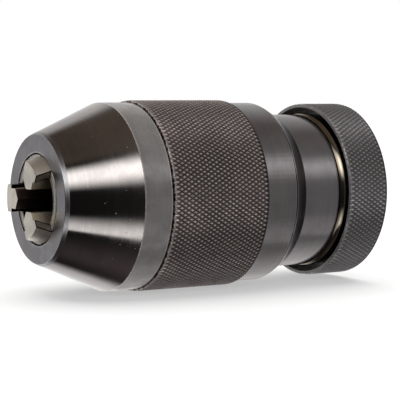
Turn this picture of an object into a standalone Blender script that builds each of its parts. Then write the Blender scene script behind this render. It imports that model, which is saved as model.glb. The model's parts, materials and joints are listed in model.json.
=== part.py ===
"""Keyless, self-tightening drill chuck, 1 to 13 mm, lying on its side with its nose towards -X.

Every piece is modelled along a chuck axis whose station runs forward from the rear face,
and is then carried into the world by one empty, so that the nose points to -X.
Turning the sleeve drives the left-hand screw, and the screw carries three inclined jaws.
"""

from math import acos, cos, pi, radians, sin, sqrt, tan

import bmesh
import bpy

MM = 0.001

# Whole chuck: stations are distances forward from the rear face.
NOSE = 93.4 * MM
JAW_FRONT = 97.1 * MM
GAP = 0.3 * MM
PAST = 2 * MM  # how far a cutter runs past what it cuts
OVERLAP = 0.5 * MM  # how deep joined bodies reach into each other
EDGE = 0.4 * MM  # bevels on turned edges
FINE_EDGE = 0.2 * MM
HEAVY_EDGE = 0.6 * MM
KNURL_EDGE = 0.5 * MM
OUTER_STEPS = 48
INNER_STEPS = 36
SMOOTH_ANGLE = radians(28)

# Jaws and the cone that they slide along.
SLIDE_ANGLE = radians(20)
SLOPE = tan(SLIDE_ANGLE)
JAW_TIP_R = 3.3 * MM
JAW_CROWN_R = 10.0 * MM
JAW_SHOULDER_R = 7.2 * MM
JAW_WIDTH = 7.0 * MM
BLADE_WIDTH = 5.2 * MM
JAW_CROWN_CURVE = 10.5 * MM
JAW_DEPTH = 14.0 * MM
JAW_REAR = 65.9 * MM
JAW_BACK_FLAT_R = 17.6 * MM
GRIP_V_ANGLE = radians(30)
GRIP_V_REACH = 5 * MM
FOOT_LOW_R = 7.9 * MM
FOOT_HIGH_R = 11.2 * MM
NECK_WIDTH = 4.0 * MM
NECK_REAR = 63.0 * MM
FOOT_WIDTH = 6.6 * MM
FOOT_REAR = 60.4 * MM
JAW_ANGLES = (radians(90), radians(210), radians(330))

# Hood: the black nose cone with its short cylindrical band.
HOOD_NOSE_R = 16.55 * MM
HOOD_EDGE_R = 17.1 * MM
HOOD_EDGE = 92.35 * MM
HOOD_BAND_R = 24.45 * MM
HOOD_BAND_FRONT = 75.4 * MM
HOOD_BAND_REAR = 67.45 * MM
HOOD_MOUTH_R = 11.65 * MM
HOOD_TAIL_R = 22.6 * MM
HOOD_TAIL_BORE_R = 21.3 * MM
HOOD_TAIL_REAR = 52.6 * MM

# Knurled sleeve.
SLEEVE_R = 25.0 * MM
SLEEVE_FRONT = 67.2 * MM
KNURL_REAR = 39.1 * MM
SLEEVE_SMOOTH_R = 24.25 * MM
SLEEVE_REAR = 29.9 * MM
SLEEVE_FRONT_BORE_R = 22.9 * MM
SLEEVE_BORE_R = 19.6 * MM
SLEEVE_NUT_BORE_R = 22.0 * MM
SLEEVE_SHOULDER = 52.2 * MM
SLEEVE_NUT_SEAT = 35.2 * MM

# Bearing nut that closes the sleeve, its two races, its cage and its balls.
NUT_CONE_FRONT = 29.65 * MM
NUT_CONE_FRONT_R = 24.05 * MM
NUT_REAR = 25.3 * MM
NUT_REAR_R = 21.65 * MM
NUT_BORE_R = 21.3 * MM
NUT_WEB_REAR = 32.5 * MM
NUT_FRONT = 35.0 * MM
BEARING_BORE_R = 14.2 * MM
BEARING_R = 19.2 * MM
BALL_STATION = 39.6 * MM
BALL_PITCH_R = 16.6 * MM
BALL_R = 2.0 * MM
BALL_COUNT = 12
RACE_HALF_SPACE = 1.5 * MM
RACE_GROOVE_R = 2.25 * MM
REAR_RACE_REAR = 35.3 * MM
FRONT_RACE_FRONT = 43.2 * MM
CAGE_R = 19.0 * MM
CAGE_THICKNESS = 1.6 * MM
CAGE_POCKET_R = 2.3 * MM

# Hub: taper socket, thrust flange and threaded tube in one piece.
SOCKET_MOUTH_R = 7.867 * MM
SOCKET_DEPTH = 24.0 * MM
SOCKET_TAPER = 0.02498
HUB_SHANK_R = 13.5 * MM
FLANGE_REAR = 43.5 * MM
FLANGE_FRONT = 48.2 * MM
HUB_TUBE_R = 12.0 * MM
HUB_FRONT = 49.4 * MM
HUB_THREAD_R = 8.3 * MM
HUB_THREAD_REAR = 26.0 * MM
HUB_RELIEF_R = 5.0 * MM

# Rear body, grip ring, retaining ring and dust seal, all carried by the hub.
BODY_R = 21.0 * MM
BODY_FRONT = 31.9 * MM
BODY_STEP = 6.6 * MM
BODY_SPIGOT_R = 17.0 * MM
BODY_REAR = 0.5 * MM
RING_R = 23.95 * MM
RING_FRONT = 12.4 * MM
RING_RIM_R = 22.85 * MM
RING_WEB = 6.3 * MM
WIRE_R = 0.7 * MM
WIRE_STATION = 12.95 * MM
WIRE_PITCH_R = 20.85 * MM
WIRE_SPLIT = radians(7)
WIRE_SPLIT_AT = radians(45)
SEAL_R = 0.65 * MM
SEAL_STATION = 28.6 * MM
SEAL_PITCH_R = 20.45 * MM

# Jaw guide and drive screw.
GUIDE_FRONT = 93.2 * MM
GUIDE_R = 21.0 * MM
GUIDE_REAR = 52.5 * MM
GUIDE_BORE_R = 14.8 * MM
GUIDE_BORE_FRONT = 74.6 * MM
GUIDE_THROAT_R = 7.2 * MM
GUIDE_FLARE_REAR = 88.5 * MM
GUIDE_FLARE_R = 9.3 * MM
GUIDE_SLOT_REAR = 57.4 * MM
SCREW_HEAD_R = 14.5 * MM
SCREW_HEAD_FRONT = 65.6 * MM
SCREW_HEAD_REAR = 58.0 * MM
SCREW_R = 8.0 * MM
SCREW_REAR = 34.5 * MM
SCREW_SLOT_INNER_R = 4.5 * MM


def new_collection(name):
    collection = bpy.data.collections.new(name)
    bpy.context.scene.collection.children.link(collection)
    return collection


def new_material(name, colour, roughness, metallic):
    material = bpy.data.materials.new(name)
    material.use_nodes = True
    shader = material.node_tree.nodes["Principled BSDF"]
    shader.inputs["Base Color"].default_value = (*colour, 1.0)
    shader.inputs["Roughness"].default_value = roughness
    shader.inputs["Metallic"].default_value = metallic
    return material


def place(name, mesh, material, parent, turn=0.0, smooth=True):
    """Puts a mesh on the chuck axis, turned about that axis."""
    if smooth:
        mesh.shade_smooth()
        mesh.set_sharp_from_angle(angle=SMOOTH_ANGLE)
    obj = bpy.data.objects.new(name, mesh)
    PARTS.objects.link(obj)
    obj.parent = parent
    obj.rotation_euler = (0.0, 0.0, turn)
    mesh.materials.clear()
    mesh.materials.append(material)
    return obj


def place_cutter(name, mesh, parent, turn=0.0):
    cutter = bpy.data.objects.new(name, mesh)
    CUTTERS.objects.link(cutter)
    cutter.parent = parent
    cutter.rotation_euler = (0.0, 0.0, turn)
    cutter.hide_render = True
    cutter.display_type = "WIRE"
    return cutter


def combine(obj, other, operation):
    boolean = obj.modifiers.new(f"{operation.lower()}_{other.name}", "BOOLEAN")
    boolean.operation = operation
    boolean.object = other
    boolean.solver = "EXACT"


def bevelled(corners):
    """A closed outline of (station, radius, bevel) corners, with each bevelled corner cut by its own size."""
    points = []
    for index, (station, radius, bevel) in enumerate(corners):
        if not bevel:
            points.append((station, radius))
            continue
        for neighbour in (corners[index - 1], corners[(index + 1) % len(corners)]):
            run, rise = neighbour[0] - station, neighbour[1] - radius
            share = bevel / sqrt(run * run + rise * rise)
            points.append((station + share * run, radius + share * rise))
    return points


def turned_mesh(name, outline, steps, ring=True):
    """Turned about Z. A ring's outline goes down the outside, nose to rear, and back up the bore;
    a solid's outline starts and ends on the axis."""
    profile = bpy.data.meshes.new(name + "_outline")
    vertices = [(radius, 0.0, station) for station, radius in outline]
    edges = [(i, i + 1) for i in range(len(vertices) - 1)]
    if ring:
        edges.append((len(vertices) - 1, 0))
    profile.from_pydata(vertices, edges, [])
    carrier = bpy.data.objects.new(name + "_outline", profile)
    bpy.context.scene.collection.objects.link(carrier)
    screw = carrier.modifiers.new("turn", "SCREW")
    screw.axis = "Z"
    screw.angle = 2 * pi
    screw.steps = steps
    screw.render_steps = steps
    screw.use_merge_vertices = True
    screw.merge_threshold = 0.000001
    graph = bpy.context.evaluated_depsgraph_get()
    mesh = bpy.data.meshes.new_from_object(carrier.evaluated_get(graph))
    mesh.name = name
    bpy.data.objects.remove(carrier)
    bpy.data.meshes.remove(profile)
    return mesh


def extruded_mesh(name, outline, shift):
    """A closed outline of 3-D points, extruded by one shift vector."""
    mesh = bpy.data.meshes.new(name)
    shape = bmesh.new()
    face = shape.faces.new([shape.verts.new(point) for point in outline])
    grown = bmesh.ops.extrude_face_region(shape, geom=[face])
    moved = [item for item in grown["geom"] if isinstance(item, bmesh.types.BMVert)]
    bmesh.ops.translate(shape, verts=moved, vec=shift)
    bmesh.ops.recalc_face_normals(shape, faces=shape.faces)
    shape.to_mesh(mesh)
    shape.free()
    return mesh


def block_mesh(name, radii, width, stations):
    """A box from one radius to another, centred across its width, between two stations."""
    mesh = bpy.data.meshes.new(name)
    shape = bmesh.new()
    bmesh.ops.create_cube(shape, size=1.0)
    size = (radii[1] - radii[0], width, stations[1] - stations[0])
    bmesh.ops.scale(shape, vec=size, verts=shape.verts)
    centre = ((radii[0] + radii[1]) / 2, 0.0, (stations[0] + stations[1]) / 2)
    bmesh.ops.translate(shape, verts=shape.verts, vec=centre)
    shape.to_mesh(mesh)
    shape.free()
    return mesh


def ball_groove(side):
    """Points across a race's ball groove, outer edge to inner; side is 1 in front of the balls, -1 behind."""
    half_angle = acos(RACE_HALF_SPACE / RACE_GROOVE_R)
    angles = [half_angle * (1 - step / 2) for step in range(5)]
    return [
        (BALL_STATION + side * RACE_GROOVE_R * cos(angle), BALL_PITCH_R + RACE_GROOVE_R * sin(angle))
        for angle in angles
    ]


def make_hub():
    end_r = SOCKET_MOUTH_R - SOCKET_DEPTH * SOCKET_TAPER
    outline = bevelled([
        (HUB_FRONT, HUB_TUBE_R, EDGE),
        (FLANGE_FRONT, HUB_TUBE_R, 0),
        (FLANGE_FRONT, BEARING_R, EDGE),
        (FLANGE_REAR, BEARING_R, EDGE),
        (FLANGE_REAR, HUB_SHANK_R, 0),
        (0.0, HUB_SHANK_R, EDGE),
        (0.0, SOCKET_MOUTH_R, EDGE),
        (SOCKET_DEPTH, end_r, 0),
        (SOCKET_DEPTH, HUB_RELIEF_R, 0),
        (HUB_THREAD_REAR, HUB_RELIEF_R, 0),
        (HUB_THREAD_REAR, HUB_THREAD_R, 0),
        (HUB_FRONT, HUB_THREAD_R, EDGE),
    ])
    return place("hub", turned_mesh("hub", outline, INNER_STEPS), STEEL, AXIS)


def make_rear_body():
    wire_low = WIRE_PITCH_R - WIRE_R - GAP
    wire_half = WIRE_R + GAP
    seal_low = SEAL_PITCH_R - SEAL_R - GAP
    seal_half = SEAL_R + GAP
    outline = bevelled([
        (BODY_FRONT, BODY_R, HEAVY_EDGE),
        (SEAL_STATION + seal_half, BODY_R, 0),
        (SEAL_STATION + seal_half, seal_low, 0),
        (SEAL_STATION - seal_half, seal_low, 0),
        (SEAL_STATION - seal_half, BODY_R, 0),
        (WIRE_STATION + wire_half, BODY_R, 0),
        (WIRE_STATION + wire_half, wire_low, 0),
        (WIRE_STATION - wire_half, wire_low, 0),
        (WIRE_STATION - wire_half, BODY_R, 0),
        (BODY_STEP, BODY_R, 0),
        (BODY_STEP, BODY_SPIGOT_R, 0),
        (BODY_REAR, BODY_SPIGOT_R, EDGE),
        (BODY_REAR, HUB_SHANK_R + GAP, 0),
        (BODY_FRONT, HUB_SHANK_R + GAP, 0),
    ])
    return place("rear_body", turned_mesh("rear_body", outline, OUTER_STEPS), BLUED, AXIS)


def make_grip_ring():
    outline = bevelled([
        (RING_FRONT, RING_R, KNURL_EDGE),
        (0.0, RING_R, HEAVY_EDGE),
        (0.0, BODY_SPIGOT_R + GAP, EDGE),
        (RING_WEB, BODY_SPIGOT_R + GAP, 0),
        (RING_WEB, RING_RIM_R, 0),
        (RING_FRONT, RING_RIM_R, FINE_EDGE),
    ])
    return place("grip_ring", turned_mesh("grip_ring", outline, OUTER_STEPS), KNURLED, AXIS)


def make_retaining_ring():
    """A split wire ring: an arc curve with a round bevel and filled ends."""
    curve = bpy.data.curves.new("retaining_ring", "CURVE")
    curve.dimensions = "3D"
    curve.bevel_depth = WIRE_R
    curve.bevel_resolution = 1
    curve.use_fill_caps = True
    spline = curve.splines.new("POLY")
    spline.points.add(OUTER_STEPS - 1)
    for index, point in enumerate(spline.points):
        share = index / (OUTER_STEPS - 1)
        angle = WIRE_SPLIT_AT + WIRE_SPLIT / 2 + share * (2 * pi - WIRE_SPLIT)
        point.co = (WIRE_PITCH_R * cos(angle), WIRE_PITCH_R * sin(angle), WIRE_STATION, 1.0)
    curve.materials.append(POLISHED)
    ring = bpy.data.objects.new("retaining_ring", curve)
    PARTS.objects.link(ring)
    ring.parent = AXIS
    return ring


def make_dust_seal():
    bpy.ops.mesh.primitive_torus_add(
        major_radius=SEAL_PITCH_R, minor_radius=SEAL_R, major_segments=INNER_STEPS, minor_segments=6
    )
    made = bpy.context.object
    mesh = made.data
    bpy.data.objects.remove(made)
    seal = place("dust_seal", mesh, RUBBER, AXIS)
    seal.location = (0.0, 0.0, SEAL_STATION)
    return seal


def make_bearing_nut():
    outline = bevelled([
        (NUT_FRONT, SLEEVE_NUT_BORE_R - GAP, EDGE),
        (NUT_CONE_FRONT, SLEEVE_NUT_BORE_R - GAP, 0),
        (NUT_CONE_FRONT, NUT_CONE_FRONT_R, 0),
        (NUT_REAR, NUT_REAR_R, 0),
        (NUT_REAR, NUT_BORE_R, 0),
        (NUT_WEB_REAR, NUT_BORE_R, 0),
        (NUT_WEB_REAR, BEARING_BORE_R, 0),
        (NUT_FRONT, BEARING_BORE_R, 0),
    ])
    return place("bearing_nut", turned_mesh("bearing_nut", outline, OUTER_STEPS), BLUED, SLEEVE_AXIS)


def make_races():
    rear_face = BALL_STATION - RACE_HALF_SPACE
    rear = [
        (rear_face, BEARING_R),
        (REAR_RACE_REAR, BEARING_R),
        (REAR_RACE_REAR, BEARING_BORE_R),
        (rear_face, BEARING_BORE_R),
    ]
    rear += ball_groove(-1)[::-1]
    place("rear_race", turned_mesh("rear_race", rear, INNER_STEPS), HARDENED, SLEEVE_AXIS)
    front_face = BALL_STATION + RACE_HALF_SPACE
    bore_r = HUB_SHANK_R + GAP
    front = [(FRONT_RACE_FRONT, BEARING_R), (front_face, BEARING_R)]
    front += ball_groove(1)
    front += [(front_face, bore_r), (FRONT_RACE_FRONT, bore_r)]
    place("front_race", turned_mesh("front_race", front, INNER_STEPS), HARDENED, AXIS)


def make_cage():
    half = CAGE_THICKNESS / 2
    outline = [
        (BALL_STATION + half, CAGE_R),
        (BALL_STATION - half, CAGE_R),
        (BALL_STATION - half, BEARING_BORE_R),
        (BALL_STATION + half, BEARING_BORE_R),
    ]
    cage = place("ball_cage", turned_mesh("ball_cage", outline, INNER_STEPS), BRASS, CAGE_AXIS)
    for index in range(BALL_COUNT):
        mesh = bpy.data.meshes.new(f"cage_pocket_{index + 1}")
        shape = bmesh.new()
        bmesh.ops.create_cone(
            shape,
            cap_ends=True,
            segments=12,
            radius1=CAGE_POCKET_R,
            radius2=CAGE_POCKET_R,
            depth=4 * CAGE_THICKNESS,
        )
        bmesh.ops.translate(shape, verts=shape.verts, vec=(BALL_PITCH_R, 0.0, BALL_STATION))
        shape.to_mesh(mesh)
        shape.free()
        turn = 2 * pi * index / BALL_COUNT
        combine(cage, place_cutter(mesh.name, mesh, CAGE_AXIS, turn), "DIFFERENCE")


def make_balls():
    mesh = bpy.data.meshes.new("bearing_ball")
    shape = bmesh.new()
    bmesh.ops.create_uvsphere(shape, u_segments=10, v_segments=6, radius=BALL_R)
    shape.to_mesh(mesh)
    shape.free()
    for index in range(BALL_COUNT):
        turn = 2 * pi * index / BALL_COUNT
        ball = place(f"bearing_ball_{index + 1:02d}", mesh, HARDENED, CAGE_AXIS)
        ball.location = (BALL_PITCH_R * cos(turn), BALL_PITCH_R * sin(turn), BALL_STATION)


def make_sleeve():
    outline = bevelled([
        (SLEEVE_FRONT, SLEEVE_R, KNURL_EDGE),
        (KNURL_REAR, SLEEVE_R, KNURL_EDGE),
        (KNURL_REAR, SLEEVE_SMOOTH_R, 0),
        (SLEEVE_REAR, SLEEVE_SMOOTH_R, FINE_EDGE),
        (SLEEVE_REAR, SLEEVE_NUT_BORE_R, 0),
        (SLEEVE_NUT_SEAT, SLEEVE_NUT_BORE_R, 0),
        (SLEEVE_NUT_SEAT, SLEEVE_BORE_R, 0),
        (SLEEVE_SHOULDER, SLEEVE_BORE_R, 0),
        (SLEEVE_SHOULDER, SLEEVE_FRONT_BORE_R, 0),
        (SLEEVE_FRONT, SLEEVE_FRONT_BORE_R, 0),
    ])
    return place("sleeve", turned_mesh("sleeve", outline, OUTER_STEPS), KNURLED, SLEEVE_AXIS)


def make_hood():
    cone_rear = NOSE - (HOOD_TAIL_BORE_R - HOOD_MOUTH_R) / SLOPE
    outline = bevelled([
        (NOSE, HOOD_NOSE_R, 0),
        (HOOD_EDGE, HOOD_EDGE_R, 0),
        (HOOD_BAND_FRONT, HOOD_BAND_R, 0),
        (HOOD_BAND_REAR, HOOD_BAND_R, FINE_EDGE),
        (HOOD_BAND_REAR, HOOD_TAIL_R, 0),
        (HOOD_TAIL_REAR, HOOD_TAIL_R, EDGE),
        (HOOD_TAIL_REAR, HOOD_TAIL_BORE_R, 0),
        (cone_rear, HOOD_TAIL_BORE_R, 0),
        (NOSE, HOOD_MOUTH_R, 0),
    ])
    return place("hood", turned_mesh("hood", outline, OUTER_STEPS), BLUED, SLEEVE_AXIS)


def slot_mesh(name, low_r, high_r, width):
    """A slot sheared along the jaws' slide; its radii are those at the jaws' front station."""
    front, rear = NOSE + PAST, GUIDE_SLOT_REAR
    drop = (front - JAW_FRONT) * SLOPE
    corners = [(low_r, -1), (high_r, -1), (high_r, 1), (low_r, 1)]
    outline = [(radius - drop, side * width / 2, front) for radius, side in corners]
    return extruded_mesh(name, outline, ((front - rear) * SLOPE, 0.0, rear - front))


def make_jaw_guide():
    mouth_r = HOOD_MOUTH_R - GAP + (NOSE - GUIDE_FRONT) * SLOPE
    cone_rear = GUIDE_FRONT - (GUIDE_R - mouth_r) / SLOPE
    outline = bevelled([
        (GUIDE_FRONT, mouth_r, 0),
        (cone_rear, GUIDE_R, 0),
        (GUIDE_REAR, GUIDE_R, EDGE),
        (GUIDE_REAR, GUIDE_BORE_R, 0),
        (GUIDE_BORE_FRONT, GUIDE_BORE_R, 0),
        (GUIDE_BORE_FRONT, GUIDE_THROAT_R, 0),
        (GUIDE_FLARE_REAR, GUIDE_THROAT_R, 0),
        (GUIDE_FRONT, GUIDE_FLARE_R, 0),
    ])
    guide = place("jaw_guide", turned_mesh("jaw_guide", outline, INNER_STEPS), STEEL, SLEEVE_AXIS)
    blade_low = JAW_CROWN_R - JAW_DEPTH - GAP
    shoulder_low = JAW_SHOULDER_R - GAP
    for index, turn in enumerate(JAW_ANGLES, 1):
        wide = slot_mesh(f"wide_slot_{index}", shoulder_low, JAW_CROWN_R + PAST, JAW_WIDTH + GAP)
        combine(guide, place_cutter(wide.name, wide, SLEEVE_AXIS, turn), "DIFFERENCE")
        blade = slot_mesh(f"blade_slot_{index}", blade_low, JAW_CROWN_R, BLADE_WIDTH + GAP)
        combine(guide, place_cutter(blade.name, blade, SLEEVE_AXIS, turn), "DIFFERENCE")
    return guide


def jaw_section():
    """The jaw's cross-section at its front station, as (radius, width) corners."""
    half, blade = JAW_WIDTH / 2, BLADE_WIDTH / 2
    corners = [(JAW_CROWN_R - JAW_DEPTH, blade), (JAW_SHOULDER_R, blade), (JAW_SHOULDER_R, half)]
    for step in range(7):
        across = half * (1 - step / 3)
        sag = JAW_CROWN_CURVE - sqrt(JAW_CROWN_CURVE**2 - across**2)
        corners.append((JAW_CROWN_R - sag, across))
    corners += [(JAW_SHOULDER_R, -half), (JAW_SHOULDER_R, -blade), (JAW_CROWN_R - JAW_DEPTH, -blade)]
    return corners


def make_jaws():
    length = JAW_FRONT - JAW_REAR
    section = [(radius, across, JAW_FRONT) for radius, across in jaw_section()]
    below = JAW_CROWN_R - JAW_DEPTH - PAST
    outer = JAW_TIP_R + GRIP_V_REACH * tan(GRIP_V_ANGLE)
    grip = [
        (below, -GRIP_V_REACH),
        (below, GRIP_V_REACH),
        (outer, GRIP_V_REACH),
        (JAW_TIP_R, 0.0),
        (outer, -GRIP_V_REACH),
    ]
    past = JAW_FRONT + PAST
    for index, turn in enumerate(JAW_ANGLES, 1):
        name = f"jaw_{index}"
        body = extruded_mesh(name, section, (length * SLOPE, 0.0, -length))
        jaw = place(name, body, GROUND, SLEEVE_AXIS, turn)
        edge = [(radius, across, past) for radius, across in grip]
        edge_cut = extruded_mesh(f"grip_edge_{index}", edge, (0.0, 0.0, JAW_REAR - past - PAST))
        combine(jaw, place_cutter(edge_cut.name, edge_cut, SLEEVE_AXIS, turn), "DIFFERENCE")
        back = (JAW_BACK_FLAT_R, JAW_BACK_FLAT_R + JAW_DEPTH)
        flat = block_mesh(f"back_flat_{index}", back, 2 * JAW_WIDTH, (JAW_REAR - PAST, NOSE))
        combine(jaw, place_cutter(flat.name, flat, SLEEVE_AXIS, turn), "DIFFERENCE")
        foot_r = (FOOT_LOW_R, FOOT_HIGH_R)
        neck = block_mesh(f"neck_{index}", foot_r, NECK_WIDTH, (NECK_REAR - OVERLAP, JAW_REAR + OVERLAP))
        combine(jaw, place_cutter(neck.name, neck, SLEEVE_AXIS, turn), "UNION")
        foot = block_mesh(f"foot_{index}", foot_r, FOOT_WIDTH, (FOOT_REAR, NECK_REAR))
        combine(jaw, place_cutter(foot.name, foot, SLEEVE_AXIS, turn), "UNION")


def make_drive_screw():
    outline = bevelled([
        (SCREW_HEAD_FRONT, 0.0, 0),
        (SCREW_HEAD_FRONT, SCREW_HEAD_R, EDGE),
        (SCREW_HEAD_REAR, SCREW_HEAD_R, EDGE),
        (SCREW_HEAD_REAR, SCREW_R, 0),
        (SCREW_REAR, SCREW_R, HEAVY_EDGE),
        (SCREW_REAR, 0.0, 0),
    ])
    mesh = turned_mesh("drive_screw", outline, INNER_STEPS, ring=False)
    screw = place("drive_screw", mesh, STEEL, SCREW_AXIS)
    slot_r = (SCREW_SLOT_INNER_R, SCREW_HEAD_R + PAST)
    foot_space = (FOOT_REAR - GAP, NECK_REAR + GAP)
    neck_space = (NECK_REAR, SCREW_HEAD_FRONT + PAST)
    for index, turn in enumerate(JAW_ANGLES, 1):
        wide = block_mesh(f"foot_slot_{index}", slot_r, FOOT_WIDTH + 2 * GAP, foot_space)
        combine(screw, place_cutter(wide.name, wide, SCREW_AXIS, turn), "DIFFERENCE")
        narrow = block_mesh(f"neck_slot_{index}", slot_r, NECK_WIDTH + 2 * GAP, neck_space)
        combine(screw, place_cutter(narrow.name, narrow, SCREW_AXIS, turn), "DIFFERENCE")
    return screw


def new_axis(name, parent=None):
    """An empty on the chuck axis; the first one lays the whole chuck on its side."""
    empty = bpy.data.objects.new(name, None)
    PARTS.objects.link(empty)
    empty.parent = parent
    if parent is None:
        empty.location = (JAW_FRONT / 2, 0.0, 0.0)
        empty.rotation_euler = (0.0, -pi / 2, 0.0)
    return empty


for leftover in list(bpy.data.objects):
    bpy.data.objects.remove(leftover)

PARTS = new_collection("drill_chuck")
CUTTERS = new_collection("cutters")

STEEL = new_material("turned_steel", (0.42, 0.41, 0.39), 0.35, 1.0)
GROUND = new_material("ground_steel", (0.62, 0.59, 0.53), 0.38, 1.0)
HARDENED = new_material("hardened_steel", (0.55, 0.55, 0.56), 0.15, 1.0)
POLISHED = new_material("polished_steel", (0.50, 0.47, 0.42), 0.10, 1.0)
BLUED = new_material("black_oxide", (0.055, 0.050, 0.048), 0.22, 0.9)
KNURLED = new_material("knurled_steel", (0.12, 0.10, 0.09), 0.40, 0.9)
BRASS = new_material("cage_brass", (0.62, 0.44, 0.16), 0.35, 1.0)
RUBBER = new_material("seal_rubber", (0.03, 0.03, 0.03), 0.75, 0.0)

AXIS = new_axis("chuck_axis")
SLEEVE_AXIS = new_axis("sleeve_axis", AXIS)
CAGE_AXIS = new_axis("cage_axis", AXIS)
SCREW_AXIS = new_axis("screw_axis", SLEEVE_AXIS)

make_hub()
make_rear_body()
make_grip_ring()
make_retaining_ring()
make_dust_seal()
make_sleeve()
make_bearing_nut()
make_hood()
make_jaw_guide()
make_races()
make_cage()
make_balls()
make_drive_screw()
make_jaws()
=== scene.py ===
"""Looks of the keyless drill chuck: fine turned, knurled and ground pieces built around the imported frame.

The chuck axis is the world X axis and the nose points to -X. A turned piece takes its outline from the
CAD node that it stands for. The sizes below are details too fine for the CAD, apart from the jaws' blade
and the ends of the cone, which follow the CAD's.
"""

import json
from math import cos, degrees, pi, radians, sin, tan

import bmesh
import bpy
from mathutils import Matrix, Vector


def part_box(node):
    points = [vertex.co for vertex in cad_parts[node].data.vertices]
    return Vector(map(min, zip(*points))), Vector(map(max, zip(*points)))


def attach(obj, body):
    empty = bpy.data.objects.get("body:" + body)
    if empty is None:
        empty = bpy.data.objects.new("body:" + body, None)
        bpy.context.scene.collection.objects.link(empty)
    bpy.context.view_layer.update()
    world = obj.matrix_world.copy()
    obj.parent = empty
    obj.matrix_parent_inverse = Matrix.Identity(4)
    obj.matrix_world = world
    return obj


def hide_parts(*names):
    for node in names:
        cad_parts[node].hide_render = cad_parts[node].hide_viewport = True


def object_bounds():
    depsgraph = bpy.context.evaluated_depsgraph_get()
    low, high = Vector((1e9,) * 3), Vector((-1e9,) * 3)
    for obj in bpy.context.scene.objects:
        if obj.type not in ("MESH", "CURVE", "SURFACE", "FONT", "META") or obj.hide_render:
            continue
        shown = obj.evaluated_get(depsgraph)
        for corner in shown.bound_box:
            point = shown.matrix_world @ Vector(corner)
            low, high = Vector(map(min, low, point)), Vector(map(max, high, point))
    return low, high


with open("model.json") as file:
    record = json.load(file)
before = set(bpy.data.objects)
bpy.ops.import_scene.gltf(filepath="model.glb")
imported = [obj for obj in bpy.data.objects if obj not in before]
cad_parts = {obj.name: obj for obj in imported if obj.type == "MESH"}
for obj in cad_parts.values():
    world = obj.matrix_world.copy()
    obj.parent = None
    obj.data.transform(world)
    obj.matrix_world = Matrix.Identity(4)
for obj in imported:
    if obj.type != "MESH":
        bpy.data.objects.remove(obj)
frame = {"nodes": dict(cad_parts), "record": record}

CAD_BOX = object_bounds()
MM = 0.001
REAR_FACE = Vector((CAD_BOX[1].x, 0.0, 0.0))

# Shape details.
TURN_STEPS = 240
ARC_STEPS = 3
SOFT_EDGE = 0.12 * MM
WORN_WIDTH = 0.18 * MM
ROUNDED_SHARE = 0.4  # largest share of a side that a rounded corner takes
WORN_SHARE = 0.45  # and that its wear takes
MOUTH_EDGE = 0.4 * MM
SLIGHT_TURN = radians(12)
SHARP_ANGLE = radians(26)
FLAT_ANGLE = radians(1)
MERGE = 0.002 * MM
KNURL_CHAMFER = 0.29 * MM
CAD_CHAMFER = 0.6 * MM  # no chamfer of a knurled CAD node is taller than this
KNURL_DEPTH = 0.27 * MM
KNURL_CUT_MERGE = 0.0001 * MM
KNURL_RAISED = 0.04 * MM
KNURL_FLAT = 0.14  # share of a diamond left flat on top
SLEEVE_DIAMONDS = 130
SLEEVE_ROWS = 14
RING_DIAMONDS = 120
RING_ROWS = 6
JAW_BEVEL = 0.1 * MM
BLADE_HALF_WIDTH = 2.6 * MM
FACING_FRONT = 0.6  # least share of a face's normal that points this way
FACING_OUT = 0.85
FACING_IN = 0.3
FACING_ASIDE = 0.95
FLANK_AREA = 4 * MM * MM
# width of the painted shadow line left round each sunk flank
FLANK_SHADOW_BORDER = 0.3 * MM
FLANK_SUNK = 0.05 * MM
RING_FACE_STEPS = 8
RING_FACE_FRONT = radians(50)
RING_FACE_REAR = radians(12)
GUIDE_FACING_FRONT = 0.9

# Finishes. Noise scales are in cells per metre.
WEAR = "worn"
WEAR_STARTS = 0.55  # share of the way up from a knurl's hollow to its tip
MARK_TURNS = 0.35  # tool marks hold their shade this far round, in noise cells per radian
DRIFT_SCALE = 45.0
CLOUD_SCALE = 260.0
SPECK_SCALE = 420.0
PATCH_SCALE = 900.0
RUBBER_SCALE = 3000.0
RUBBER_GRAIN = 0.02 * MM
GRAIN_SCALE = 5200.0
FLOOR_SCALE = 30.0
FLOOR_RADIUS = 4.0
FLOOR_GREYS = (0.50, 0.54)
FLOOR_GLOW = 0.45  # share of the floor lit from within, which keeps its shadows pale
# where the cone's painted shading and its roughness start and stop changing
CONE_STATIONS = (-44 * MM, -27 * MM)

# Overhead sun.
SUN_STRENGTH = 6.5
SUN_SPREAD = radians(85)
SUN_TILT = (radians(-18), radians(8), 0.0)

# Camera, worked out from the rear face of the chuck.
VIEW_AZIMUTH = radians(-31.124)
VIEW_ELEVATION = radians(3.964)
VIEW_DISTANCE = 422.7 * MM
VIEW_RIGHT = -38.6 * MM
VIEW_UP = -3.47 * MM
LENS_MM = 133.3
SENSOR_MM = 36.0
CLIP_START = 0.01


# ---------------------------------------------------------------- shapes


def outline_of(node):
    """The closed outline, as (x, radius) points, where a turned CAD node crosses the half-plane above the
    axis. It starts at the front outer edge and runs back along the outside."""
    mesh = frame["nodes"][node].data
    on_plane = {}
    for vertex in mesh.vertices:
        if abs(vertex.co.y) < MERGE and vertex.co.z > MERGE:
            on_plane[vertex.index] = (round(vertex.co.x, 6), round(vertex.co.z, 6))
    links = {}
    for edge in mesh.edges:
        ends = [on_plane.get(index) for index in edge.vertices]
        if None not in ends and ends[0] != ends[1]:
            links.setdefault(ends[0], set()).add(ends[1])
            links.setdefault(ends[1], set()).add(ends[0])
    start = max(links, key=lambda point: (-point[0], point[1]))
    outline = [start]
    here = max(links[start], key=lambda point: point[0] + point[1])
    while here != start:
        outline.append(here)
        here = next(point for point in links[here] if point != outline[-2])
    return outline


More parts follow.
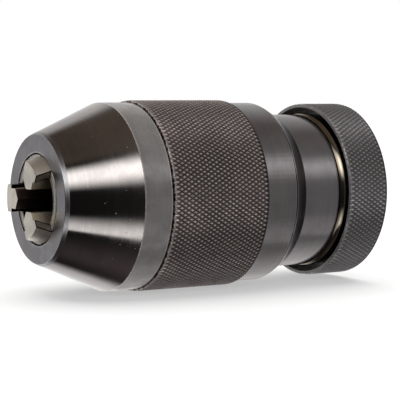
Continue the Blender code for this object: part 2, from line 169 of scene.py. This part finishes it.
def softened(outline, closed=True, last_edge=SOFT_EDGE):
    """The outline as (x, radius, wear) points, with each corner rounded and marked as worn."""
    points = []
    count = len(outline)
    for index, corner in enumerate(outline):
        here = Vector(corner)
        back = Vector(outline[index - 1]) - here
        on = Vector(outline[(index + 1) % count]) - here
        at_end = not closed and index in (0, count - 1)
        if at_end or pi - back.angle(on) < SLIGHT_TURN:
            points.append((*corner, 0.0))
            continue
        size = last_edge if index == count - 1 else SOFT_EDGE
        reach = min(size, ROUNDED_SHARE * back.length, ROUNDED_SHARE * on.length)
        first = here + reach * back.normalized()
        last = here + reach * on.normalized()
        worn = reach + WORN_WIDTH
        points.append((*(here + min(worn, WORN_SHARE * back.length) * back.normalized()), 0.0))
        for step in range(ARC_STEPS + 1):
            share = step / ARC_STEPS
            point = (1 - share) ** 2 * first + 2 * share * (1 - share) * here + share**2 * last
            points.append((*point, 1.0))
        points.append((*(here + min(worn, WORN_SHARE * on.length) * on.normalized()), 0.0))
    return points


def linked(name, data):
    """A new object in the scene."""
    made = bpy.data.objects.new(name, data)
    bpy.context.scene.collection.objects.link(made)
    return made


def finished(name, shape, body, materials, replaced):
    """Turns a bmesh into a piece that rides on a body and stands for a CAD node."""
    bmesh.ops.remove_doubles(shape, verts=shape.verts, dist=MERGE)
    bmesh.ops.recalc_face_normals(shape, faces=shape.faces)
    mesh = bpy.data.meshes.new(name)
    shape.to_mesh(mesh)
    shape.free()
    mesh.shade_smooth()
    mesh.set_sharp_from_angle(angle=SHARP_ANGLE)
    for material in materials:
        mesh.materials.append(material)
    piece = linked(name, mesh)
    even = piece.modifiers.new("even_normals", "WEIGHTED_NORMAL")
    even.keep_sharp = True
    even.weight = 100
    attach(piece, body)
    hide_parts(replaced)
    return piece


def turned(name, outline, body, materials, replaced):
    """A closed outline of (x, radius, wear) points, spun about the chuck axis."""
    shape = bmesh.new()
    wear = shape.verts.layers.float.new(WEAR)
    verts = []
    for x, radius, worn in outline:
        vert = shape.verts.new((x, 0.0, radius))
        vert[wear] = worn
        verts.append(vert)
    edges = [shape.edges.new((verts[index - 1], vert)) for index, vert in enumerate(verts)]
    bmesh.ops.spin(
        shape,
        geom=verts + edges,
        cent=(0.0, 0.0, 0.0),
        axis=(1.0, 0.0, 0.0),
        angle=2 * pi,
        steps=TURN_STEPS,
    )
    return finished(name, shape, body, materials, replaced)


def knurl_strip(radius, front, rear, diamonds, rows):
    """Diamond pyramids laid out flat: X runs round the ring, Y along it and Z out from its widest radius.
    The strip runs past both ends, and is cut there by the two chamfers. Returns it and its two cut edges."""
    strip = bmesh.new()
    wear = strip.verts.layers.float.new(WEAR)
    half_round = pi * radius / diamonds
    half_along = (rear - front) / rows / 2
    middle = (front + rear) / 2
    corners = {}

    def corner(column, row):
        if (column, row) not in corners:
            place = (column * half_round, middle + row * half_along, -KNURL_DEPTH)
            corners[column, row] = strip.verts.new(place)
        return corners[column, row]

    for row in range(-rows - 1, rows + 2):
        for column in range(row % 2, 2 * diamonds, 2):
            tip = Vector((column * half_round, middle + row * half_along, 0.0))
            low = [
                corner(column - 1, row),
                corner(column, row - 1),
                corner(column + 1, row),
                corner(column, row + 1),
            ]
            high = []
            for vert in low:
                place = tip.lerp(vert.co, KNURL_FLAT)
                high.append(strip.verts.new((place.x, place.y, 0.0)))
                high[-1][wear] = 1.0
            strip.faces.new(high)
            for side in range(4):
                strip.faces.new((high[side - 1], low[side - 1], low[side], high[side]))
    cuts = []
    for stop, outward in ((front, -1.0), (rear, 1.0)):
        cut = bmesh.ops.bisect_plane(
            strip,
            geom=strip.verts[:] + strip.edges[:] + strip.faces[:],
            dist=KNURL_CUT_MERGE,
            plane_co=(0.0, stop, -KNURL_CHAMFER),
            plane_no=(0.0, outward, 1.0),
            clear_outer=True,
        )
        edges = [item for item in cut["geom_cut"] if isinstance(item, bmesh.types.BMEdge)]
        for vert in {end for edge in edges for end in edge.verts}:
            vert[wear] = 1.0 if stop == front else 0.0
        cuts.append(edges)
    return strip, wear, cuts


def swept(strip, wear, edges, path):
    """Extrudes a row of edges from one (y, z, wear) stop of the path to the next."""
    for y, z, worn in path:
        grown = bmesh.ops.extrude_edge_only(strip, edges=edges)["geom"]
        edges = [item for item in grown if isinstance(item, bmesh.types.BMEdge)]
        for vert in {end for edge in edges for end in edge.verts}:
            vert.co.y = y
            vert.co.z = z
            vert[wear] = worn


def knurled(name, outline, diamonds, rows, body, materials, replaced):
    """A turned ring whose widest cylinder carries a diamond knurl between two chamfers."""
    widest = max(point[1] for point in outline)
    radius = widest + KNURL_RAISED
    crown = [index for index, point in enumerate(outline) if widest - point[1] < MERGE]
    front, rear = outline[crown[0] - 1][0], outline[crown[-1] + 1][0]
    strip, wear, (front_cut, rear_cut) = knurl_strip(radius, front, rear, diamonds, rows)
    low = radius - KNURL_CHAMFER
    rest = outline[crown[-1] + 2 :] + outline[: crown[0] - 1]
    path = softened([(rear, low), *rest, (front, low)], closed=False)
    swept(strip, wear, rear_cut, [(x, r - radius, worn) for x, r, worn in path])
    swept(strip, wear, front_cut, [(front, low - radius, 1.0)])
    for vert in strip.verts:
        angle = vert.co.x / radius
        reach = radius + vert.co.z
        vert.co = (vert.co.y, reach * sin(angle), reach * cos(angle))
    return finished(name, strip, body, materials, replaced)


def refined(node, body, materials):
    """A copy of a CAD node with its flat facets merged and its edges bevelled."""
    shape = bmesh.new()
    shape.from_mesh(frame["nodes"][node].data)
    wear = shape.loops.layers.float.new(WEAR)
    bmesh.ops.remove_doubles(shape, verts=shape.verts, dist=MERGE)
    bmesh.ops.dissolve_limit(shape, angle_limit=FLAT_ANGLE, verts=shape.verts, edges=shape.edges)
    sharp = [edge for edge in shape.edges if edge.calc_face_angle(0.0) > SHARP_ANGLE]
    made = bmesh.ops.bevel(
        shape,
        geom=sharp,
        offset=JAW_BEVEL,
        offset_type="OFFSET",
        segments=2,
        profile=0.6,
        affect="EDGES",
        clamp_overlap=True,
        harden_normals=False,
    )
    for face in made["faces"]:
        for loop in face.loops:
            loop[wear] = 1.0
    return finished(node + "_ground", shape, body, materials, node)


# ---------------------------------------------------------------- shader nodes


def add(tree, kind, inputs=(), **settings):
    """A shader node, with its settings made and its inputs given values or linked to sockets."""
    made = tree.nodes.new("ShaderNode" + kind)
    for key, value in settings.items():
        setattr(made, key, value)
    for key, value in dict(inputs).items():
        if isinstance(value, bpy.types.NodeSocket):
            tree.links.new(value, made.inputs[key])
        else:
            made.inputs[key].default_value = value
    return made


def calc(tree, operation, *values):
    return add(tree, "Math", dict(enumerate(values)), operation=operation).outputs[0]


def product(tree, first, *others):
    for other in others:
        first = calc(tree, "MULTIPLY", first, other)
    return first


def total_of(tree, first, *others):
    for other in others:
        first = calc(tree, "ADD", first, other)
    return first


def ramp(tree, value, low, high, to_low=0.0, to_high=1.0):
    """A smooth step from to_low, where value is low, to to_high, where value is high."""
    inputs = {"Value": value, "From Min": low, "From Max": high, "To Min": to_low, "To Max": to_high}
    return add(tree, "MapRange", inputs, interpolation_type="SMOOTHSTEP").outputs[0]


def blend(tree, share, first, second):
    """A colour between two others."""
    made = add(tree, "Mix", data_type="RGBA")
    for index, value in ((0, share), (6, first), (7, second)):
        if isinstance(value, bpy.types.NodeSocket):
            tree.links.new(value, made.inputs[index])
        else:
            made.inputs[index].default_value = value
    return made.outputs[2]


def noise(tree, place, scale, detail=3.0, roughness=0.55):
    inputs = {"Vector": place, "Scale": scale, "Detail": detail, "Roughness": roughness}
    return add(tree, "TexNoise", inputs).outputs["Fac"]


def rgba(colour):
    return (*colour, 1.0)


def grey(value):
    return (value, value, value, 1.0)


def new_material(name):
    """A material with an empty node tree, and that tree."""
    material = bpy.data.materials.new(name)
    material.use_nodes = True
    material.node_tree.nodes.clear()
    return material, material.node_tree


def chuck_coordinates(tree):
    """The point on the piece, and the same point as distance along the axis, radius and angle."""
    place = add(tree, "TexCoord").outputs["Object"]
    parts = add(tree, "SeparateXYZ", {0: place}).outputs
    squares = [product(tree, part, part) for part in parts[1:]]
    radius = calc(tree, "SQRT", total_of(tree, *squares))
    angle = calc(tree, "ARCTAN2", parts[1], parts[2])
    return place, parts[0], radius, angle


def metal(
    name,
    colour,
    dark,
    worn,
    roughness,
    marks_mm=0.25,
    marks_height=0.004,
    marks_tint=0.25,
    grain_height=0.0,
    smudge=0.06,
    wear_share=0.6,
    specks=0.0,
    hollow=1.0,
    metallic=1.0,
    fade=None,
    cloudy=0.05,
):
    """Turned or ground metal. Its tool marks run round the axis, its tint and gloss drift over
    centimetres, and its worn edges are bright. hollow is the painted shade at the bottom of a knurl,
    specks the strength of small rough bright spots, and metallic the share that isn't diffuse. fade is
    the (front, rear) stations on the axis, and the (front, rear) factors of shade and of roughness
    there; its change in shade is painted light and shade along the axis."""
    material, tree = new_material(name)
    place, along, radius, angle = chuck_coordinates(tree)
    per_mark = 1 / (marks_mm * MM)
    stretches = ((along, per_mark), (radius, per_mark), (angle, MARK_TURNS))
    cells = [product(tree, value, stretch) for value, stretch in stretches]
    ring_place = add(tree, "CombineXYZ", dict(enumerate(cells))).outputs[0]
    marks = noise(tree, ring_place, 1.0, detail=2.0, roughness=0.5)
    drift = noise(tree, place, DRIFT_SCALE, detail=1.5, roughness=0.4)
    clouds = noise(tree, place, CLOUD_SCALE, detail=4.0)
    grain = noise(tree, place, GRAIN_SCALE, detail=2.0)
    wear = add(tree, "Attribute", attribute_name=WEAR).outputs["Fac"]
    patches = ramp(tree, noise(tree, place, PATCH_SCALE, detail=3.0), 0.3, 0.6, 0.35, 1.0)

    shades = [
        ramp(tree, marks, 0.25, 0.75, 1 - marks_tint, 1 + marks_tint),
        ramp(tree, drift, 0.3, 0.7, 1 - smudge, 1 + smudge),
        ramp(tree, clouds, 0.35, 0.65, 1 - cloudy, 1 + cloudy),
    ]
    roughs = [
        ramp(tree, drift, 0.3, 0.7, roughness * 0.93, roughness * 1.07),
        ramp(tree, marks, 0.2, 0.8, 0.88, 1.12),
        ramp(tree, clouds, 0.35, 0.65, 1 + 2 * cloudy, 1 - 2 * cloudy),
    ]
    # fade's shade factors paint light and shade along the axis; its other factors change the roughness
    if fade:
        stations, painted_light_shades, fade_roughs = fade
        shades.append(ramp(tree, along, *stations, *painted_light_shades))
        roughs.append(ramp(tree, along, *stations, *fade_roughs))
    # painted shade: a knurl is darkened from partway up its sides down to its hollows
    if hollow < 1.0:
        shades.append(ramp(tree, wear, 0.0, WEAR_STARTS, hollow, 1.0))
        wear = ramp(tree, wear, WEAR_STARTS, 1.0)
    wear_mask = product(tree, wear, patches, wear_share)
    roughs.append(ramp(tree, wear_mask, 0.0, 0.8, 1.0, 0.6))

    base = blend(tree, ramp(tree, drift, 0.3, 0.7), rgba(dark), rgba(colour))
    shade = product(tree, *shades)
    shaded = add(tree, "VectorMath", {0: base, "Scale": shade}, operation="SCALE").outputs[0]
    final = blend(tree, wear_mask, shaded, rgba(worn))
    rough = product(tree, *roughs)
    if specks:
        points = add(tree, "TexVoronoi", {"Vector": place, "Scale": SPECK_SCALE, "Randomness": 1.0})
        spot = ramp(tree, points.outputs["Distance"], 0.03, 0.10, specks, 0.0)
        final = blend(tree, spot, final, rgba(worn))
        rough = calc(tree, "MAXIMUM", rough, product(tree, spot, 0.9))
    height = total_of(tree, product(tree, marks, marks_height), product(tree, grain, grain_height))
    bump = add(tree, "Bump", {"Height": height, "Distance": MM, "Strength": 1.0}).outputs[0]
    inputs = {"Base Color": final, "Metallic": metallic, "Roughness": rough, "Normal": bump}
    shader = add(tree, "BsdfPrincipled", inputs)
    add(tree, "OutputMaterial", {"Surface": shader.outputs[0]})
    return material


def rubber(name):
    """Moulded rubber with a fine matt grain."""
    material, tree = new_material(name)
    place = add(tree, "TexCoord").outputs["Object"]
    grain = noise(tree, place, RUBBER_SCALE)
    colour = blend(tree, grain, grey(0.018), rgba((0.045, 0.044, 0.042)))
    bump = add(tree, "Bump", {"Height": grain, "Distance": RUBBER_GRAIN}).outputs[0]
    inputs = {"Base Color": colour, "Roughness": ramp(tree, grain, 0.3, 0.7, 0.62, 0.8), "Normal": bump}
    shader = add(tree, "BsdfPrincipled", inputs)
    add(tree, "OutputMaterial", {"Surface": shader.outputs[0]})
    return material


# ---------------------------------------------------------------- studio


def studio_world():
    """White walls behind the chuck, and two long soft lights above and below the camera in a dark room.
    Strengths are set by the height and the side that a reflection looks towards, both in degrees. The
    room turns with the camera, so that its reflections lie alike in every view."""
    world = bpy.data.worlds.new("studio")
    bpy.context.scene.world = world
    world.use_nodes = True
    tree = world.node_tree
    tree.nodes.clear()
    towards = add(tree, "TexCoord").outputs["Camera"]
    unit = add(tree, "VectorMath", {0: towards}, operation="NORMALIZE").outputs[0]
    right, up, ahead = add(tree, "SeparateXYZ", {0: unit}).outputs
    to_degrees = degrees(1.0)
    high = product(tree, calc(tree, "ARCSINE", up), to_degrees)
    side = product(tree, calc(tree, "ARCTAN2", right, product(tree, ahead, -1.0)), to_degrees)
    left = product(tree, side, -1.0)
    off_camera = calc(tree, "ABSOLUTE", side)

    near = ramp(tree, off_camera, 9.0, 22.0, 1.0, 0.5)
    ends = ramp(tree, off_camera, 95.0, 115.0, 1.0, 0.0)
    droop = total_of(tree, high, ramp(tree, off_camera, 15.0, 60.0, 0.0, 5.5))
    upper = product(
        tree,
        ramp(tree, high, 9.0, 28.5, 0.0, 3.7),
        ramp(tree, droop, 33.5, 49.5, 1.0, 0.0),
        near,
        ramp(tree, off_camera, 20.0, 56.0, 1.0, 0.54),
        ends,
    )
    lower = product(
        tree,
        ramp(tree, high, -52.0, -48.0, 0.0, 2.3),
        ramp(tree, high, -46.0, -24.0, 1.0, 0.0),
        near,
        ramp(tree, off_camera, 20.0, 56.0, 1.0, 0.34),
        ends,
    )
    right_wall = product(
        tree,
        total_of(
            tree,
            ramp(tree, side, 15.0, 70.0, 0.02, 0.43),
            product(tree, ramp(tree, side, 120.0, 160.0, 0.0, 0.30), ramp(tree, high, 0.0, 20.0)),
            product(tree, ramp(tree, side, 100.0, 155.0, 0.0, 0.60), ramp(tree, high, -34.0, -2.0, 1.0, 0.0)),
        ),
        ramp(tree, high, 40.0, 75.0, 1.0, 0.0),
        ramp(tree, high, -75.0, -55.0),
    )
    left_wall = product(
        tree,
        total_of(tree, ramp(tree, left, 88.0, 112.0, 0.02, 0.72), ramp(tree, left, 125.0, 158.0, 0.0, 0.45)),
        ramp(tree, high, -10.0, 10.0, 1.0, 0.72),
        ramp(tree, high, 40.0, 60.0, 1.0, 0.0),
        ramp(tree, high, -62.0, -42.0),
    )
    walls = calc(tree, "MAXIMUM", right_wall, left_wall)
    dim = total_of(tree, ramp(tree, high, 44.0, 60.0, 0.0, 0.15), ramp(tree, high, -88.0, -50.0, 0.11, 0.0))
    total = total_of(tree, upper, lower, walls, dim)

    dimness = calc(tree, "DIVIDE", dim, total_of(tree, total, 0.001))
    dusk = blend(tree, ramp(tree, high, -10.0, 10.0), rgba((1.0, 0.79, 0.84)), rgba((1.0, 0.79, 0.64)))
    tint = blend(tree, dimness, rgba((1.0, 0.98, 0.975)), dusk)
    light = add(tree, "Background", {"Color": tint, "Strength": total})
    white = add(tree, "Background", {"Color": grey(1.0), "Strength": 1.0})
    seen = add(tree, "LightPath").outputs["Is Camera Ray"]
    both = add(tree, "MixShader", {0: seen, 1: light.outputs[0], 2: white.outputs[0]})
    add(tree, "OutputWorld", {"Surface": both.outputs[0]})


def overhead_light():
    """A broad sun that lights the floor and the diffuse share of each finish. It stays put in every view."""
    lamp = bpy.data.lights.new("overhead", "SUN")
    lamp.energy = SUN_STRENGTH
    lamp.angle = SUN_SPREAD
    light = linked("overhead", lamp)
    light.rotation_euler = SUN_TILT
    light.visible_glossy = False


def floor():
    shape = bmesh.new()
    bmesh.ops.create_circle(shape, cap_ends=True, segments=64, radius=FLOOR_RADIUS)
    mesh = bpy.data.meshes.new("floor")
    shape.to_mesh(mesh)
    shape.free()
    material, tree = new_material("pale_floor")
    place = add(tree, "TexCoord").outputs["Object"]
    colour = blend(tree, noise(tree, place, FLOOR_SCALE), *map(grey, FLOOR_GREYS))
    shaded = add(tree, "BsdfPrincipled", {"Base Color": colour, "Roughness": 0.9})
    glow = add(tree, "Emission", {"Color": grey(1.0)})
    both = add(tree, "MixShader", {0: FLOOR_GLOW, 1: shaded.outputs[0], 2: glow.outputs[0]})
    add(tree, "OutputMaterial", {"Surface": both.outputs[0]})
    mesh.materials.append(material)
    ground = linked("floor", mesh)
    ground.location.z = CAD_BOX[0].z
    ground.visible_glossy = False


def camera():
    lens = bpy.data.cameras.new("camera")
    lens.lens = LENS_MM
    lens.sensor_width = SENSOR_MM
    lens.clip_start = CLIP_START
    eye = linked("camera", lens)
    back = Vector((
        sin(VIEW_AZIMUTH) * cos(VIEW_ELEVATION),
        -cos(VIEW_AZIMUTH) * cos(VIEW_ELEVATION),
        sin(VIEW_ELEVATION),
    ))
    right = Vector((cos(VIEW_AZIMUTH), sin(VIEW_AZIMUTH), 0.0))
    up = back.cross(right)
    place = REAR_FACE + VIEW_DISTANCE * back + VIEW_RIGHT * right + VIEW_UP * up
    eye.matrix_world = Matrix.Translation(place) @ Matrix((right, up, back)).transposed().to_4x4()
    bpy.context.scene.camera = eye


# ---------------------------------------------------------------- pieces


def paint(piece, choose):
    """Gives each face the material slot that choose returns for its centre."""
    for face in piece.data.polygons:
        face.material_index = choose(face.center)


def make_materials():
    """Every finish by name. Each metal has a main colour, a darker one, a worn one and a roughness."""
    looks = {}

    def look(name, *finish, **details):
        looks[name] = metal(name, *finish, **details)

    look(
        "black_oxide_polished", (0.285, 0.270, 0.262), (0.265, 0.250, 0.242), (0.6, 0.57, 0.53), 0.10,
        marks_mm=0.5, marks_height=0.0009, marks_tint=0.05, smudge=0.05, wear_share=0.45, specks=0.6,
        # painted shading: the cone is darker at the nose and lighter towards the band, and also rougher
        # towards the band
        fade=(CONE_STATIONS, (0.86, 1.22), (0.85, 1.6)),
    )
    look(
        "black_oxide_face", (0.262, 0.258, 0.271), (0.235, 0.231, 0.243), (0.6, 0.59, 0.59), 0.30,
        marks_mm=0.2, marks_height=0.002, marks_tint=0.05, smudge=0.03, wear_share=0.45,
    )
    look(
        "black_oxide_satin", (0.183, 0.173, 0.176), (0.170, 0.160, 0.163), (0.45, 0.43, 0.42), 0.17,
        marks_mm=0.5, marks_height=0.0013, marks_tint=0.045, smudge=0.04, wear_share=0.3,
    )
    look(
        "black_oxide_band", (0.172, 0.164, 0.160), (0.148, 0.141, 0.137), (0.6, 0.58, 0.55), 0.26,
        marks_mm=0.4, marks_height=0.002, marks_tint=0.05, smudge=0.06, wear_share=0.4, metallic=0.55,
        cloudy=0.1,
    )
    look(
        "black_oxide_dark", (0.200, 0.190, 0.194), (0.180, 0.171, 0.175), (0.45, 0.43, 0.42), 0.26,
        marks_mm=0.2, marks_height=0.002, marks_tint=0.1, smudge=0.03, wear_share=0.5, metallic=0.5,
    )
    look(
        "black_oxide_body", (0.186, 0.177, 0.181), (0.173, 0.164, 0.168), (0.45, 0.43, 0.42), 0.15,
        marks_mm=0.5, marks_height=0.0013, marks_tint=0.045, smudge=0.04, wear_share=0.3,
    )
    look(
        "knurled_steel", (0.148, 0.122, 0.116), (0.130, 0.107, 0.101), (0.52, 0.46, 0.43), 0.42,
        marks_mm=0.3, marks_height=0.002, marks_tint=0.06, grain_height=0.02, smudge=0.08,
        # hollow: painted shade in the knurl's hollows
        wear_share=0.8, hollow=0.15, metallic=0.66, cloudy=0.1,
    )
    look(
        "knurled_grey", (0.178, 0.172, 0.176), (0.158, 0.153, 0.156), (0.50, 0.48, 0.48), 0.42,
        marks_mm=0.3, marks_height=0.002, marks_tint=0.06, grain_height=0.02, smudge=0.08,
        # hollow: painted shade in the knurl's hollows
        wear_share=0.6, hollow=0.5, metallic=0.88,
    )
    # near-black; on the jaws' steps and flank borders and on the guide's back faces it is painted shade
    look(
        "oiled_steel", (0.030, 0.024, 0.020), (0.020, 0.016, 0.014), (0.12, 0.10, 0.09), 0.38,
        marks_mm=0.3, marks_height=0.003, marks_tint=0.1, smudge=0.1, wear_share=0.2,
    )
    look(
        "nut_oxide", (0.190, 0.181, 0.186), (0.175, 0.167, 0.171), (0.40, 0.38, 0.37), 0.20,
        marks_mm=0.2, marks_height=0.002, marks_tint=0.08, smudge=0.03, wear_share=0.3,
    )
    look(
        "flank_steel", (0.25, 0.212, 0.180), (0.18, 0.153, 0.130), (0.5, 0.44, 0.38), 0.34,
        marks_mm=0.3, marks_height=0.004, marks_tint=0.1, smudge=0.15, wear_share=0.3,
    )
    look(
        "oiled_flank", (0.85, 0.75, 0.57), (0.70, 0.61, 0.45), (0.85, 0.78, 0.64), 0.40,
        marks_mm=0.3, marks_height=0.004, marks_tint=0.1, smudge=0.12, wear_share=0.3,
    )
    look(
        "browned_steel", (0.23, 0.17, 0.145), (0.16, 0.118, 0.10), (0.35, 0.28, 0.24), 0.34,
        marks_mm=0.3, marks_height=0.003, marks_tint=0.1, smudge=0.1, wear_share=0.2,
    )
    look(
        "ground_steel", (0.82, 0.78, 0.70), (0.76, 0.72, 0.64), (0.9, 0.86, 0.79), 0.45,
        marks_mm=0.16, marks_height=0.003, marks_tint=0.05, smudge=0.05, wear_share=0.5,
    )
    look(
        "turned_steel", (0.44, 0.42, 0.395), (0.36, 0.342, 0.322), (0.75, 0.72, 0.67), 0.30,
        marks_mm=0.25, marks_height=0.006, marks_tint=0.12, wear_share=0.5, metallic=0.7,
    )
    look(
        "hardened_steel", (0.56, 0.56, 0.57), (0.50, 0.50, 0.51), (0.75, 0.75, 0.75), 0.12,
        marks_mm=0.15, marks_height=0.001, marks_tint=0.04,
    )
    look(
        "polished_steel", (0.30, 0.262, 0.205), (0.24, 0.208, 0.162), (0.5, 0.46, 0.40), 0.13,
        marks_mm=0.3, marks_height=0.001, marks_tint=0.06, smudge=0.15,
    )
    look(
        "cage_brass", (0.62, 0.44, 0.16), (0.52, 0.36, 0.12), (0.8, 0.62, 0.3), 0.3,
        marks_mm=0.3, marks_height=0.005, marks_tint=0.08,
    )
    looks["seal_rubber"] = rubber("seal_rubber")
    return looks


LOOKS = make_materials()


def make_hood():
    polished, band, face = (LOOKS["black_oxide_" + kind] for kind in ("polished", "band", "face"))
    outline = outline_of("hood")
    widest = max(radius for _, radius in outline)
    band_front = min(x for x, radius in outline if widest - radius < MERGE)
    piece = turned(
        "hood_turned",
        softened(outline, last_edge=MOUTH_EDGE),
        "sleeve",
        [polished, band, face],
        "hood",
    )
    edge = outline[1][0]
    mouth = 0.5 * (outline[0][1] + outline[-1][1])

    def finish(centre):
        if centre.x > band_front:
            return 1
        return 0 if centre.x > edge and centre.yz.length > mouth else 2

    paint(piece, finish)


def make_sleeve():
    knurl, satin = LOOKS["knurled_steel"], LOOKS["black_oxide_satin"]
    outline = outline_of("sleeve")
    piece = knurled(
        "sleeve_knurled", outline, SLEEVE_DIAMONDS, SLEEVE_ROWS, "sleeve",
        [knurl, satin], "sleeve",
    )
    radius = max(point[1] for point in outline)
    rear = max(x for x, r in outline if radius - r < CAD_CHAMFER)
    paint(piece, lambda centre: 1 if centre.x > rear else 0)


def make_grip_ring():
    outline = outline_of("grip_ring")
    piece = knurled(
        "grip_ring_knurled", outline, RING_DIAMONDS, RING_ROWS, "hub",
        [LOOKS["knurled_grey"], LOOKS["black_oxide_dark"]], "grip_ring",
    )
    low = max(point[1] for point in outline) + KNURL_RAISED - KNURL_CHAMFER
    paint(piece, lambda centre: 1 if centre.yz.length < low - MERGE else 0)


def make_turned_pieces():
    for node, body, slot, look in (
        ("bearing_nut", "sleeve", "black_oxide_satin", "nut_oxide"),
        ("rear_body", "hub", "black_oxide_satin", "black_oxide_body"),
        ("hub", "hub", "turned_steel", "turned_steel"),
    ):
        turned(node + "_turned", softened(outline_of(node)), body, [LOOKS[look]], node)


def make_retaining_ring():
    """A polished ring whose bulged front face slopes back from the body's edge."""
    low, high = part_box("retaining_ring")
    inner, outer = high.z - (high.x - low.x), high.z
    section = [(high.x, outer), (high.x, inner), (low.x, inner)]
    stations = [low.x + (high.x - low.x) * step / RING_FACE_STEPS for step in range(RING_FACE_STEPS + 1)]
    rises = []
    for step in range(RING_FACE_STEPS):
        share = (step + 0.5) / RING_FACE_STEPS
        slope = RING_FACE_FRONT + (RING_FACE_REAR - RING_FACE_FRONT) * share
        rises.append((stations[1] - stations[0]) * tan(slope))
    radius = outer - sum(rises)
    face = [(stations[0], radius)]
    for station, rise in zip(stations[1:], rises):
        radius += rise
        face.append((station, radius))
    outline = [(*point, 0.0) for point in section + face[:-1]]
    look = LOOKS["polished_steel"]
    turned("retaining_ring_polished", outline, "hub", [look], "retaining_ring")


def make_jaws():
    """Bright ground faces in front and outside, tan sides, a browned grip edge, and dark flanks sunk
    between near-black borders; these borders and the shoulder steps are painted shadow."""
    front, side, edge, step, flank = range(5)
    # the step finish is near-black painted shadow
    names = ("ground_steel", "oiled_flank", "browned_steel", "oiled_steel", "flank_steel")
    looks = [LOOKS[name] for name in names]
    for node in ("jaw_1", "jaw_2", "jaw_3"):
        piece = refined(node, node, looks)
        low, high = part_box(node)
        outward = ((low + high) / 2).yz.normalized()
        across = Vector((-outward.y, outward.x))
        shape = bmesh.new()
        shape.from_mesh(piece.data)
        flanks = []
        for face in shape.faces:
            out = face.normal.yz.dot(outward)
            past_blade = abs(face.calc_center_median().yz.dot(across)) > BLADE_HALF_WIDTH + 0.1 * JAW_BEVEL
            if face.normal.x < -FACING_FRONT or out > FACING_OUT:
                face.material_index = front
            elif past_blade:
                # painted shadow: shoulder steps and crown sides get the near-black step finish
                face.material_index = step
                if abs(face.normal.yz.dot(across)) > FACING_ASIDE and face.calc_area() > FLANK_AREA:
                    flanks.append(face)
            else:
                face.material_index = edge if out < -FACING_IN else side
        # the border left round each sunk flank keeps the step finish, a painted shadow line
        bmesh.ops.inset_individual(shape, faces=flanks, thickness=FLANK_SHADOW_BORDER, depth=-FLANK_SUNK)
        for face in flanks:
            face.material_index = flank
        shape.to_mesh(piece.data)
        shape.free()


def finish_inner_nodes():
    """Carried-over CAD nodes: smooth shading where they are round, and the finish of their slot. The
    guide keeps its finish in front only, where it shows in the nose's mouth; its other faces are painted
    near-black as shade inside the chuck."""
    for part in frame["record"]["subparts"]:
        node = frame["nodes"][part["node"]]
        if node.hide_render:
            continue
        node.data.materials.clear()
        node.data.materials.append(LOOKS[part["material_slot"]])
        weld = node.modifiers.new("weld", "WELD")
        weld.merge_threshold = MERGE
        node.data.shade_smooth()
        node.data.set_sharp_from_angle(angle=SHARP_ANGLE)
    guide = frame["nodes"]["jaw_guide"]
    # painted shade: every face of the guide but the front ones gets the near-black finish
    guide.data.materials.append(LOOKS["oiled_steel"])
    for face in guide.data.polygons:
        face.material_index = 0 if face.normal.x < -GUIDE_FACING_FRONT else 1


make_hood()
make_sleeve()
make_grip_ring()
make_turned_pieces()
make_retaining_ring()
make_jaws()
finish_inner_nodes()
floor()
studio_world()
overhead_light()
camera()
bpy.context.scene.view_settings.view_transform = "Standard"
